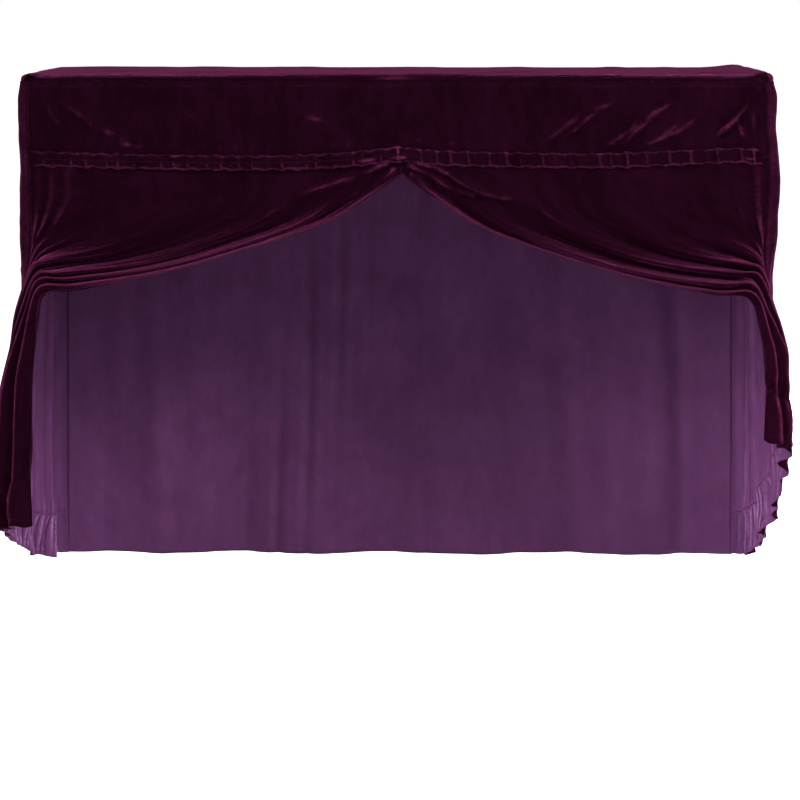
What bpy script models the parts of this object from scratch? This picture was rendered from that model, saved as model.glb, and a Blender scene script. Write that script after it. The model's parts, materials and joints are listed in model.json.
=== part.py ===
"""Fitted velvet cover for an upright piano, with its two front curtains swept back over the keyboard arms.

Run with: blender --background --python part.py
Metres, +Z up, +X to the right of someone at the keyboard, +Y towards the back of the piano.
The origin is the centre of the underside of the top panel, where the piano's lid carries the cover.
Every piece is one sheet of cloth: a grid placed by a function of (u, v), then given its thickness.
"""

import math
from collections import namedtuple
from functools import partial

import bmesh
import bpy
from mathutils import Vector

# ---------------------------------------------------------------- driving sizes
CLOTH = 0.002
SEAM_GAP = 0.0005
CORNER_GAP = 0.0010
TOP_SEAM_GAP = 0.0012

HALF_WIDTH = 0.7595
HALF_DEPTH = 0.200
PLAN_CORNER = 0.025
SEAM_X = HALF_WIDTH - PLAN_CORNER

EDGE_ROLL = 0.013
WALL_TOP_Z = CLOTH / 2.0 - EDGE_ROLL - TOP_SEAM_GAP
LOOSE_HUMP = 0.011
LOOSE_X = 0.735
LOOSE_SPREAD = 0.030
FLAT_SHARE = 0.5
RING_GRADE = 1.6

BAND_HEIGHT = 0.030
BAND_COVER = BAND_HEIGHT / 2.0 + 0.002
SEAM_INSET = 0.002
BAND_TUCKS = 42
BAND_PUFF = 0.0030
TUCK_DEPTH = 0.0020

BAND_REST_Z = -0.160
BAND_SHARE = 0.30
PARTING_X = 0.018
PARTING_GAP = 0.003
LEFT_OF_PARTING = PARTING_X - PARTING_GAP / 2.0
RIGHT_OF_PARTING = PARTING_X + PARTING_GAP / 2.0

FRILL = 0.100
FRILL_GAP = 0.0021
FRILL_BELLY = 0.009
HEM_SCALLOP = 0.004
SIDE_GATHERS = 5.0
SIDE_WAVE = 0.009
CURTAIN_GATHERS = 4.0
CURTAIN_WAVE = 0.004

BACK_HEM_Z = -1.115
BACK_SPREAD = 0.038
BACK_FOLD = 0.011

SHOULDER_TOP_Z = -0.330
SHOULDER_LOW_Z = -0.500

CURL_FROM_U = 0.60
CURL_FROM_V = 0.50
DIP_GRADE = 1.5

UPPER_ROWS = 6
SWEPT_ROWS = 16
UPPER_SHARE = UPPER_ROWS / (UPPER_ROWS + SWEPT_ROWS)

VELVET_COLOUR = (0.060, 0.006, 0.045, 1.0)

# ---------------------------------------------------------------- short tables
# The stitched line between valance and curtains, lifted at the parting and sagging beside it.
BandRow = namedtuple("BandRow", "x z")
BAND_LINE = [
    BandRow(-0.735, -0.166),
    BandRow(-0.510, -0.172),
    BandRow(-0.260, -0.174),
    BandRow(-0.120, -0.169),
    BandRow(-0.050, -0.162),
    BandRow(0.010, -0.157),
    BandRow(0.070, -0.163),
    BandRow(0.200, -0.167),
    BandRow(0.400, -0.169),
    BandRow(0.530, -0.165),
    BandRow(0.690, -0.158),
    BandRow(0.735, -0.162),
]

# How far each side wall stands outside the plan of the top, at a distance down from it.
FlareRow = namedtuple("FlareRow", "down left right")
SIDE_FLARE = [
    FlareRow(0.013, 0.000, 0.000),
    FlareRow(0.045, 0.006, 0.006),
    FlareRow(0.095, 0.007, 0.008),
    FlareRow(0.150, 0.007, 0.014),
    FlareRow(0.240, 0.009, 0.017),
    FlareRow(0.345, 0.012, 0.014),
    FlareRow(0.430, 0.013, 0.008),
    FlareRow(0.600, 0.028, 0.016),
    FlareRow(0.800, 0.050, 0.024),
    FlareRow(0.950, 0.060, 0.027),
    FlareRow(1.130, 0.058, 0.026),
]

# The seam that carries the frill, along a side wall from its front edge (0) to its back edge (1).
# The front is drawn up where the cloth is thrown over the keyboard arms.
SeamRow = namedtuple("SeamRow", "along left right")
FRILL_SEAM = [
    SeamRow(0.00, -0.845, -0.785),
    SeamRow(0.27, -0.900, -0.867),
    SeamRow(0.50, -0.955, -0.930),
    SeamRow(0.75, -0.998, -0.985),
    SeamRow(1.00, -1.016, -1.014),
]

# Slack creases across the valance, each from one point to another.
Crease = namedtuple("Crease", "x0 z0 x1 z1 height width")
VALANCE_CREASES = [
    Crease(-0.745, -0.040, -0.660, -0.120, 0.0035, 0.012),
    Crease(-0.620, -0.085, -0.510, -0.150, 0.0045, 0.014),
    Crease(-0.480, -0.060, -0.330, -0.120, 0.0030, 0.018),
    Crease(-0.215, -0.060, -0.095, -0.130, 0.0035, 0.014),
    Crease(0.285, -0.135, 0.405, -0.058, 0.0055, 0.013),
    Crease(0.410, -0.148, 0.540, -0.066, 0.0060, 0.014),
    Crease(0.490, -0.145, 0.612, -0.078, 0.0045, 0.011),
    Crease(0.622, -0.140, 0.700, -0.048, 0.0060, 0.011),
]

# A swept curtain, row by row from the band to the frill seam. v is the row's place along the cloth.
# outer_z is the height of the edge on the side panel and (x, y, z) is the leading edge. gather crowds
# the columns towards the leading edge. fold is the height of a crest, which points along
# (out_x, out_y, out_z). dip draws the body of the row in towards the piano and rise lifts its middle.
Row = namedtuple("Row", "v outer_z x y z gather fold dip rise out_x out_y out_z")
RIGHT_SWEEP = [
    Row(0.00, BAND_REST_Z, RIGHT_OF_PARTING, -0.200, BAND_REST_Z, 1.60, 0.000, 0.000, 0.000, 0.0, -1.0, 0.0),
    Row(0.03, -0.169, 0.020, -0.200, -0.174, 1.65, 0.000, 0.000, 0.000, 0.0, -1.0, 0.0),
    Row(0.06, -0.178, 0.022, -0.200, -0.188, 1.70, 0.000, 0.000, 0.000, 0.0, -1.0, 0.0),
    Row(0.12, -0.205, 0.062, -0.204, -0.240, 1.85, 0.006, 0.000, 0.000, 0.0, -1.0, 0.0),
    Row(0.20, -0.240, 0.190, -0.209, -0.312, 2.15, 0.011, 0.000, 0.000, 0.0, -1.0, 0.1),
    Row(0.33, -0.295, 0.430, -0.220, -0.389, 2.20, 0.015, 0.000, 0.000, 0.0, -1.0, 0.1),
    Row(0.46, -0.345, 0.640, -0.243, -0.436, 1.30, 0.018, 0.000, 0.000, 0.2, -1.0, 0.4),
    Row(0.54, -0.390, 0.708, -0.275, -0.438, 1.00, 0.015, 0.004, 0.008, 0.5, -0.7, 0.6),
    Row(0.62, -0.450, 0.730, -0.312, -0.486, 1.00, 0.015, 0.002, 0.010, 1.0, -0.4, 0.2),
    Row(0.80, -0.610, 0.756, -0.345, -0.557, 1.00, 0.021, -0.009, 0.040, 1.0, -0.3, 0.0),
    Row(1.00, -0.785, 0.772, -0.362, -0.609, 1.00, 0.020, -0.001, 0.045, 1.0, -0.3, 0.0),
]
LEFT_SWEEP = [
    Row(0.00, BAND_REST_Z, -LEFT_OF_PARTING, -0.200, BAND_REST_Z, 1.60, 0.000, 0.000, 0.000, 0.0, -1.0, 0.0),
    Row(0.03, -0.169, -0.016, -0.200, -0.174, 1.65, 0.000, 0.000, 0.000, 0.0, -1.0, 0.0),
    Row(0.06, -0.178, -0.013, -0.200, -0.188, 1.70, 0.000, 0.000, 0.000, 0.0, -1.0, 0.0),
    Row(0.12, -0.205, 0.040, -0.204, -0.240, 1.90, 0.006, 0.000, 0.000, 0.0, -1.0, 0.0),
    Row(0.20, -0.240, 0.165, -0.209, -0.302, 2.20, 0.012, 0.000, 0.000, 0.0, -1.0, 0.1),
    Row(0.33, -0.295, 0.415, -0.220, -0.380, 2.20, 0.015, 0.000, 0.000, 0.0, -1.0, 0.1),
    Row(0.46, -0.345, 0.640, -0.242, -0.428, 1.30, 0.018, 0.000, 0.000, 0.2, -1.0, 0.4),
    Row(0.54, -0.390, 0.706, -0.272, -0.432, 1.00, 0.014, 0.004, 0.008, 0.5, -0.7, 0.6),
    Row(0.62, -0.450, 0.725, -0.305, -0.478, 1.00, 0.014, 0.004, 0.010, 1.0, -0.4, 0.2),
    Row(0.80, -0.640, 0.770, -0.330, -0.635, 1.00, 0.021, -0.008, 0.000, 1.0, -0.3, 0.0),
    Row(1.00, -0.845, 0.801, -0.338, -0.800, 1.00, 0.024, 0.004, 0.000, 1.0, -0.3, 0.0),
]

# curl is how far the foot of a curtain's leading edge turns in under the keyboard arm.
Side = namedtuple("Side", "name sign sweep folds warp curl")
SIDES = [
    Side("left", -1, LEFT_SWEEP, 5, 0.030, 0.060),
    Side("right", 1, RIGHT_SWEEP, 5, -0.026, 0.034),
]


# ---------------------------------------------------------------- small helpers
def mix(a, b, t):
    return a + (b - a) * t


def ease(t):
    """Smooth step from 0 to 1, flat at both ends."""
    t = min(1.0, max(0.0, t))
    return t * t * (3.0 - 2.0 * t)


def window(t, margin):
    """1 inside the range 0 to 1, falling to 0 at both of its ends."""
    return ease(t / margin) * ease((1.0 - t) / margin)


def curve(rows, key, column, place):
    """The column's value on a smooth curve through all the rows, at a place along the key column."""
    keys = [getattr(row, key) for row in rows]
    values = [getattr(row, column) for row in rows]
    last = len(rows) - 1
    place = min(max(place, keys[0]), keys[-1])
    index = max(i for i in range(last) if keys[i] <= place)

    def slope(i):
        low, high = max(i - 1, 0), min(i + 1, last)
        return (values[high] - values[low]) / (keys[high] - keys[low])

    span = keys[index + 1] - keys[index]
    t = (place - keys[index]) / span
    from_start = (1.0 + 2.0 * t) * (1.0 - t) ** 2 * values[index]
    from_end = t * t * (3.0 - 2.0 * t) * values[index + 1]
    from_slopes = t * (1.0 - t) ** 2 * slope(index) - t * t * (1.0 - t) * slope(index + 1)
    return from_start + from_end + from_slopes * span


# ---------------------------------------------------------------- the lines that pieces share
def band_z(x):
    return curve(BAND_LINE, "x", "z", x)


def above_band(x, v):
    """A height between the top seam, v = 0, and the band's line, v = 1, the last row being under the band."""
    line, last = band_z(x), 1.0 - 1.0 / UPPER_ROWS
    if v <= last:
        return mix(WALL_TOP_Z, line + BAND_COVER, v / last)
    return mix(line + BAND_COVER, line + SEAM_INSET, (v - last) / (1.0 - last))


def tuck_turns(x):
    """A place along the band counted in tucks, which crowd a little towards the left."""
    t = (x + SEAM_X - 0.009) / (2.0 * SEAM_X - 0.018)
    return BAND_TUCKS * (t + 0.019 * math.sin(math.pi * min(1.0, max(0.0, t)) ** 1.1) ** 2)


def seam_z(side, along):
    return curve(FRILL_SEAM, "along", side.name, along)


def back_spread(z):
    return BACK_SPREAD * (WALL_TOP_Z - z) / (WALL_TOP_Z - BACK_HEM_Z)


def side_path(side, along, z):
    """A point of a side wall. along runs from 0 at the front edge to 1 at the back edge."""
    arc = PLAN_CORNER * math.pi / 2.0
    back = HALF_DEPTH - PLAN_CORNER
    straight = 2.0 * back
    distance = along * (straight + 2.0 * arc)

    def corner(turned, y_sign):
        angle = turned / PLAN_CORNER
        x = SEAM_X + PLAN_CORNER * math.cos(angle)
        return x, y_sign * (back + PLAN_CORNER * math.sin(angle))

    if distance < arc:
        wrapped = corner(arc - distance, -1.0)
        unrolled = (HALF_WIDTH, -back - (arc - distance))
        lower = ease((SHOULDER_TOP_Z - z) / (SHOULDER_TOP_Z - SHOULDER_LOW_Z))
        x, y = (mix(a, b, lower) for a, b in zip(wrapped, unrolled))
    elif distance < arc + straight:
        x, y = HALF_WIDTH, -back + (distance - arc)
    else:
        x, y = corner(distance - arc - straight, 1.0)
    swell = mix(curve(SIDE_FLARE, "down", side.name, -z), back_spread(z), ease((along - 0.35) / 0.65))
    loose = window(along, 0.18) * ease((-0.03 - z) / 0.50)
    soft_fold = 0.009 * loose * math.sin(along * 5.5 * math.pi + side.sign * 0.9 + 2.0 * z)
    return Vector((side.sign * (x + swell + soft_fold), y, z))


# ---------------------------------------------------------------- the pieces
def top_point(u, v):
    """The top panel: rings of a rounded rectangle, the outer ones rolling over to the walls."""
    a, b = 2.0 * u - 1.0, 1.0 - 2.0 * v
    ring = max(abs(a), abs(b), 1e-6)
    edge = Vector((a / ring * HALF_WIDTH, b / ring * HALF_DEPTH))
    inner_x, inner_y = HALF_WIDTH - PLAN_CORNER, HALF_DEPTH - PLAN_CORNER
    inner = Vector((max(-inner_x, min(inner_x, edge.x)), max(-inner_y, min(inner_y, edge.y))))
    normal = (edge - inner).normalized()
    rim = inner + normal * PLAN_CORNER
    shrink = 1.0 - max(0.0, 1.0 - ring / FLAT_SHARE) ** RING_GRADE
    angle = max(0.0, (ring - FLAT_SHARE) / (1.0 - FLAT_SHARE)) * math.pi / 2.0
    place = (rim - normal * EDGE_ROLL) * shrink + normal * EDGE_ROLL * math.sin(angle)
    drop = EDGE_ROLL * (1.0 - math.cos(angle))
    away = (place.x - LOOSE_X) / LOOSE_SPREAD
    crown = LOOSE_HUMP * math.exp(-away * away) * math.cos(angle) * mix(0.5, 1.0, v)
    return Vector((place.x, place.y, CLOTH / 2.0 + crown - drop))


def crease_lift(x, z):
    """How far the valance's slack creases stand out at a point."""
    lift = 0.0
    for crease in VALANCE_CREASES:
        run = Vector((crease.x1 - crease.x0, crease.z1 - crease.z0))
        to_point = Vector((x - crease.x0, z - crease.z0))
        share = to_point.dot(run) / run.length_squared
        away = (to_point - run * share).length
        if 0.0 < share < 1.0:
            lift += crease.height * window(share, 0.45) * math.exp(-((away / crease.width) ** 2))
    return lift


def valance_point(u, v):
    """The front valance between the corners, from the top's rolled edge to the band."""
    rest = mix(-SEAM_X, SEAM_X, u)
    z = above_band(rest, v)
    left, right = (side_path(side, 0.0, z) for side in SIDES)
    x = mix(left.x + CORNER_GAP, right.x - CORNER_GAP, u)
    clear_of_band = ease((z - band_z(rest) - BAND_COVER) / BAND_COVER)
    lift = crease_lift(x, z) * clear_of_band * ease(v / 0.12) * window(u, 0.04)
    return Vector((x, -HALF_DEPTH - lift, z))


def back_point(u, v):
    """The plain back panel, in soft folds that deepen towards its hem."""
    z = mix(WALL_TOP_Z, BACK_HEM_Z, v)
    x = mix(-1.0, 1.0, u) * (SEAM_X + back_spread(z) - CORNER_GAP)
    fold = BACK_FOLD * v * window(u, 0.10) * math.sin(u * 9.0 * math.pi + 0.7 * math.sin(5.0 * u))
    return Vector((x, HALF_DEPTH + fold, z))


def side_point(side, u, v):
    """A side panel, whose rows meet those of the valance above the band and of the curtain below it."""
    line = above_band(side.sign * SEAM_X, 1.0)
    if v <= UPPER_SHARE:
        z = above_band(side.sign * SEAM_X, v / UPPER_SHARE)
    else:
        z = outer_edge_z(side, (v - UPPER_SHARE) / (1.0 - UPPER_SHARE))
        z = line + (z - line) * (seam_z(side, u) - line) / (seam_z(side, 0.0) - line)
    return side_path(side, u, z)


def band_point(u, v):
    """The shirred heading strip, puffed between its two stitched lines and nipped at each tuck."""
    reach = SEAM_X + 0.004
    x = mix(-reach, reach, u)
    z = band_z(x) + BAND_HEIGHT * (0.5 - v)
    tuck = 0.5 + 0.5 * math.cos(2.0 * math.pi * tuck_turns(x))
    puff = BAND_PUFF * math.sin(math.pi * v) + TUCK_DEPTH * tuck
    return Vector((x, -HALF_DEPTH - CLOTH - SEAM_GAP - puff, z))


def outer_edge_z(side, v):
    """The height of the curtain's outer edge, level with the band's line where it starts."""
    start = band_z(side.sign * SEAM_X) - SEAM_INSET - BAND_REST_Z
    return curve(side.sweep, "v", "outer_z", v) + start * (1.0 - ease(v / BAND_SHARE))


def curtain_outer(side, z):
    """The curtain's outer edge, a little past the front edge of the side wall."""
    edge = side_path(side, 0.0, z)
    onward = edge - side_path(side, 0.02, z)
    return edge + onward.normalized() * CORNER_GAP


def turned_in(side, u, v):
    """How far a curtain's leading edge turns in, towards its foot."""
    down = ease((v - CURL_FROM_V) / (1.0 - CURL_FROM_V))
    return side.curl * down * ease((u - CURL_FROM_U) / (1.0 - CURL_FROM_U))


def curtain_point(side, u, v):
    """A swept curtain. u runs from the side panel to the leading edge, v from the band down."""
    rows = side.sweep
    across = 1.0 - (1.0 - u) ** curve(rows, "v", "gather", v)
    outer = curtain_outer(side, outer_edge_z(side, v))
    lead = Vector([curve(rows, "v", column, v) for column in "xyz"])
    lead.x *= side.sign
    place = outer.lerp(lead, across)
    line_lift = band_z(place.x) - SEAM_INSET - mix(band_z(outer.x) - SEAM_INSET, BAND_REST_Z, across)
    place.z += line_lift * (1.0 - ease(v / BAND_SHARE))
    middle = math.sin(math.pi * u) ** 2
    drawn_in = curve(rows, "v", "dip", v) * math.sin(math.pi * u ** DIP_GRADE) ** 2
    place.x -= side.sign * (drawn_in + turned_in(side, u, v))
    place.z += curve(rows, "v", "rise", v) * middle
    waves = u + side.warp * math.sin(3.0 * math.pi * u)
    crest = (0.5 - 0.5 * math.cos(2.0 * math.pi * side.folds * waves)) * ease(u / 0.30)
    out = Vector([curve(rows, "v", column, v) for column in ("out_x", "out_y", "out_z")])
    out.x *= side.sign
    return place + out.normalized() * crest * max(0.0, curve(rows, "v", "fold", v))


def gathered(base, out, u, v, gathers, depth):
    """A point of a frill, swung outwards from base in its gathers and scalloped at its hem."""
    wave = math.sin(2.0 * math.pi * (gathers * u + 0.35 * math.sin(6.0 * u)))
    belly = FRILL_BELLY * math.sin(0.5 * math.pi * min(1.0, 1.6 * v))
    inner = window(u, 0.06)
    swing = out * (belly + depth * v * wave) * inner
    return base + swing - Vector((0.0, 0.0, HEM_SCALLOP * v * wave * inner))


def curtain_frill_point(side, u, v):
    seam = curtain_point(side, u, 1.0)
    onward = (seam - curtain_point(side, u, 0.99)).normalized()
    base = seam + onward * FRILL_GAP - Vector((0.0, 0.0, v * (FRILL - FRILL_GAP)))
    out = Vector((side.sign, -0.3, 0.0)).normalized()
    return gathered(base, out, u, v, CURTAIN_GATHERS, CURTAIN_WAVE)


def side_frill_point(side, u, v):
    base = side_path(side, u, seam_z(side, u) - mix(FRILL_GAP, FRILL, v))
    return gathered(base, Vector((side.sign, 0.0, 0.0)), u, v, SIDE_GATHERS, SIDE_WAVE)


# ---------------------------------------------------------------- building
def velvet():
    material = bpy.data.materials.new("purple_velvet")
    material.use_nodes = True
    shader = material.node_tree.nodes["Principled BSDF"]
    shader.inputs["Base Color"].default_value = VELVET_COLOUR
    shader.inputs["Roughness"].default_value = 0.85
    shader.inputs["Metallic"].default_value = 0.0
    shader.inputs["Sheen Weight"].default_value = 0.8
    return material


def sheet(name, columns, rows, place, material, collection):
    """One piece of cloth: a grid laid out by place(u, v), with its thickness from Solidify."""
    grid = bmesh.new()
    bmesh.ops.create_grid(grid, x_segments=columns, y_segments=rows, size=0.5)
    for vert in grid.verts:
        vert.co = place(vert.co.x + 0.5, 0.5 - vert.co.y)
    mesh = bpy.data.meshes.new(name)
    grid.to_mesh(mesh)
    grid.free()
    mesh.shade_smooth()
    mesh.materials.append(material)
    piece = bpy.data.objects.new(name, mesh)
    collection.objects.link(piece)
    thickness = piece.modifiers.new("cloth", "SOLIDIFY")
    thickness.thickness = CLOTH
    thickness.offset = 0.0


def main():
    for old in list(bpy.data.objects):
        bpy.data.objects.remove(old)
    collection = bpy.data.collections.new("piano_cover")
    bpy.context.scene.collection.children.link(collection)
    cloth = velvet()

    def piece(name, columns, rows, place):
        sheet(name, columns, rows, place, cloth, collection)

    piece("top_panel", 34, 12, top_point)
    piece("front_valance", 36, UPPER_ROWS, valance_point)
    piece("shirred_band", 3 * BAND_TUCKS, 2, band_point)
    piece("back_panel", 20, 10, back_point)
    for side in SIDES:
        piece(f"side_panel_{side.name}", 18, UPPER_ROWS + SWEPT_ROWS, partial(side_point, side))
        piece(f"curtain_{side.name}", 36, SWEPT_ROWS, partial(curtain_point, side))
        piece(f"curtain_frill_{side.name}", 36, 3, partial(curtain_frill_point, side))
        piece(f"side_frill_{side.name}", 40, 3, partial(side_frill_point, side))


main()
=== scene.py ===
"""Looks of a fitted velvet cover for an upright piano, with its two front curtains swept back over the arms.

Each piece is one cut sheet, or the stitches on one. A sheet is a fine grid laid on the folds of its solid by
a function of (u, v), with the smaller creases, gathers and seams added as soft ridges, and its thickness from
Solidify. The outer face is pile, the inner face the paler ground of the cloth. Metres, +Z up, +X to the right
of the player, +Y back.
"""

import json
import math
from collections import namedtuple
from functools import partial

import bmesh
import bpy
from mathutils import Matrix, Vector, noise

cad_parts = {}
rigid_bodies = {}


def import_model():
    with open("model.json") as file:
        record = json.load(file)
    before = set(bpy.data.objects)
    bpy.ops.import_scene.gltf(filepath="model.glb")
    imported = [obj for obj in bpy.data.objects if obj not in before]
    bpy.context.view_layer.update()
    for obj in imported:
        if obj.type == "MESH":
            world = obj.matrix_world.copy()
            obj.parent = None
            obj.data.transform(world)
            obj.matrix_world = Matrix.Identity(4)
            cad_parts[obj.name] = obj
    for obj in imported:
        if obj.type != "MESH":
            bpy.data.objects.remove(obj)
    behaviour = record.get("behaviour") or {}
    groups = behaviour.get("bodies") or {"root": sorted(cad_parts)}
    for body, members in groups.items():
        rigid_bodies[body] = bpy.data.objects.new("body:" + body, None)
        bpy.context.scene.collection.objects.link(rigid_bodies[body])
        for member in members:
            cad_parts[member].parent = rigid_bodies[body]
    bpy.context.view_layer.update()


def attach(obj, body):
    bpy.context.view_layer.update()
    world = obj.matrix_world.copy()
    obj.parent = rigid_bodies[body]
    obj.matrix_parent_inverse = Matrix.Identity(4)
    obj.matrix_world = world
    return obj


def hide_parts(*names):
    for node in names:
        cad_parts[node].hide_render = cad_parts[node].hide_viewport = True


# ---------------------------------------------------------------- driving sizes
# Most are the solids' own. WALL_TOP_Z, SEAM_INSET and BAND_PUFF are up to 1.2 mm off theirs, and the
# finer forms, such as the shape of the tucks, the knots, puckers and seam dips, are the scene's alone.
CLOTH = 0.002

HALF_WIDTH = 0.7595
HALF_DEPTH = 0.200
PLAN_CORNER = 0.025
SEAM_X = HALF_WIDTH - PLAN_CORNER

EDGE_ROLL = 0.013
WALL_TOP_Z = CLOTH / 2.0 - EDGE_ROLL
LOOSE_HUMP = 0.011
LOOSE_X = 0.735
LOOSE_SPREAD = 0.030
FLAT_SHARE = 0.5
RING_GRADE = 1.6

BAND_HEIGHT = 0.030
BAND_COVER = BAND_HEIGHT / 2.0 + 0.002
BAND_CLEAR = 0.0005
SEAM_INSET = 0.001
BAND_TUCKS = 42
BAND_PUFF = 0.0022
TUCK_HEIGHT = 0.0036
TUCK_WIDTH = 0.105
TUCK_STRAY = 0.50
TUCK_LEAN = 0.10
TUCK_MARGIN = 0.009
TUCK_CROWDING = 0.019
TUCK_CROWD_GRADE = 1.1
VALANCE_DRAWN = 0.0016
VALANCE_DRAWN_REACH = 0.020
BAND_SAG_HEIGHT = 0.0016
BAND_LIP = 0.0009
TOP_LIP_V = 0.08
MIDDLE_LIP_V = 0.5
LOW_LIP_V = 0.93
BAND_KNOT_V = 0.70
BAND_KNOT_REACH = 0.17
BAND_FREE = 0.05
DOUBLED_TO_X = -0.05
DOUBLED_FADE = 0.12
# Each knot of the band: its x, how far it spreads and how high it stands.
BAND_KNOTS = (
    (-0.440, 0.010, 0.0016),
    (-0.060, 0.017, 0.0060),
    (0.004, 0.014, 0.0062),
    (0.712, 0.012, 0.0030),
)

BAND_REST_Z = -0.160
BAND_SHARE = 0.30
PARTING_X = 0.018

FRILL = 0.100
FRILL_BELLY = 0.009
HEM_LINE = 0.86
HEM_SCALLOP = 0.004
HEM_DENT = 0.0010
HEM_DENT_REACH = 0.035
SIDE_FRILL_WIDTH = 0.46
CURTAIN_FRILL_WIDTH = 0.30
SIDE_GATHERS = 5.0
SIDE_WAVE = 0.009
CURTAIN_GATHERS = 4.0
CURTAIN_WAVE = 0.004
PUCKERS_PER_METRE = 62.0
PUCKER = 0.0019

BACK_HEM_Z = -1.115
BACK_SPREAD = 0.038
BACK_FOLD = 0.011
BACK_FOLD_TURNS = 9.0
BACK_BROAD_CREST = 0.0036
BACK_BROAD_TURNS = 13.0
BACK_PINCHED_CREST = 0.0060
BACK_PINCHED_TURNS = 17.0

SHOULDER_TOP_Z = -0.330
SHOULDER_LOW_Z = -0.500
SPREAD_FROM = 0.35
SIDE_FOLD = 0.009
SIDE_FOLD_TURNS = 5.5
SIDE_FOLD_FROM_Z = -0.03
SIDE_FOLD_DEPTH = 0.50
SIDE_LENGTH = 0.43
SIDE_CREST = 0.0055
PUCKER_REACH = 0.030

CURL_FROM_U = 0.60
CURL_FROM_V = 0.50
PLEAT_AT_BAND = 0.0030
PLEAT_BELOW = 0.0016
PLEAT_AT_FOOT = 0.0016
DIP_GRADE = 1.5

UPPER_SHARE = 6.0 / 22.0

SEAM_DIP = 0.0016
SEAM_REACH = 0.0050

# How much of a sheet, from each of its edges, a form takes to reach its full height.
EDGE_FADE = 0.03
VALANCE_SWELL_FADE = 0.02
CURTAIN_SWELL_FADE = 0.04
FRILL_FADE = 0.06
WALL_FADE = 0.10
SIDE_FOLD_FADE = 0.18

# ---------------------------------------------------------------- short tables
# These are the solids' tables, but for the first five rows of each curtain, where the two cross at the
# parting, the left one behind the right, and open wider just below it.
BandRow = namedtuple("BandRow", "x z")
BAND_LINE = [
    BandRow(-0.735, -0.166),
    BandRow(-0.510, -0.172),
    BandRow(-0.260, -0.174),
    BandRow(-0.120, -0.169),
    BandRow(-0.050, -0.162),
    BandRow(0.010, -0.157),
    BandRow(0.070, -0.163),
    BandRow(0.200, -0.167),
    BandRow(0.400, -0.169),
    BandRow(0.530, -0.165),
    BandRow(0.690, -0.158),
    BandRow(0.735, -0.162),
]

FlareRow = namedtuple("FlareRow", "down left right")
SIDE_FLARE = [
    FlareRow(0.013, 0.000, 0.000),
    FlareRow(0.045, 0.006, 0.006),
    FlareRow(0.095, 0.007, 0.008),
    FlareRow(0.150, 0.007, 0.014),
    FlareRow(0.240, 0.009, 0.017),
    FlareRow(0.345, 0.012, 0.014),
    FlareRow(0.430, 0.013, 0.008),
    FlareRow(0.600, 0.028, 0.016),
    FlareRow(0.800, 0.050, 0.024),
    FlareRow(0.950, 0.060, 0.027),
    FlareRow(1.130, 0.058, 0.026),
]

SeamRow = namedtuple("SeamRow", "along left right")
FRILL_SEAM = [
    SeamRow(0.00, -0.845, -0.785),
    SeamRow(0.27, -0.900, -0.867),
    SeamRow(0.50, -0.955, -0.930),
    SeamRow(0.75, -0.998, -0.985),
    SeamRow(1.00, -1.016, -1.014),
]

# A swept curtain, row by row from the band to the frill seam. v is the row's place along the cloth.
# outer_z is the height of the edge on the side panel and (x, y, z) is the leading edge. gather crowds
# the columns towards the leading edge. fold is the height of a crest, which points along
# (out_x, out_y, out_z). dip draws the body of the row in towards the piano and rise lifts its middle.
Row = namedtuple("Row", "v outer_z x y z gather fold dip rise out_x out_y out_z")
# Where the left leading edge lies at the parting, behind the right one.
LEFT_BEHIND_Y = -0.197
RIGHT_SWEEP = [
    Row(0.00, BAND_REST_Z, PARTING_X, -0.200, BAND_REST_Z, 1.60, 0.000, 0.000, 0.000, 0.0, -1.0, 0.0),
    Row(0.03, -0.169, 0.013, -0.200, -0.180, 1.65, 0.000, 0.000, 0.000, 0.0, -1.0, 0.0),
    Row(0.06, -0.178, 0.011, -0.200, -0.197, 1.70, 0.000, 0.000, 0.000, 0.0, -1.0, 0.0),
    Row(0.12, -0.205, 0.078, -0.204, -0.241, 1.85, 0.003, 0.000, 0.000, 0.0, -1.0, 0.0),
    Row(0.20, -0.240, 0.196, -0.209, -0.312, 2.15, 0.010, 0.000, 0.000, 0.0, -1.0, 0.1),
    Row(0.33, -0.295, 0.430, -0.220, -0.389, 2.20, 0.015, 0.000, 0.000, 0.0, -1.0, 0.1),
    Row(0.46, -0.345, 0.640, -0.243, -0.436, 1.30, 0.018, 0.000, 0.000, 0.2, -1.0, 0.4),
    Row(0.54, -0.390, 0.708, -0.275, -0.438, 1.00, 0.015, 0.004, 0.008, 0.5, -0.7, 0.6),
    Row(0.62, -0.450, 0.730, -0.312, -0.486, 1.00, 0.015, 0.002, 0.010, 1.0, -0.4, 0.2),
    Row(0.80, -0.610, 0.756, -0.345, -0.557, 1.00, 0.021, -0.009, 0.040, 1.0, -0.3, 0.0),
    Row(1.00, -0.785, 0.772, -0.362, -0.609, 1.00, 0.020, -0.001, 0.045, 1.0, -0.3, 0.0),
]
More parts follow.
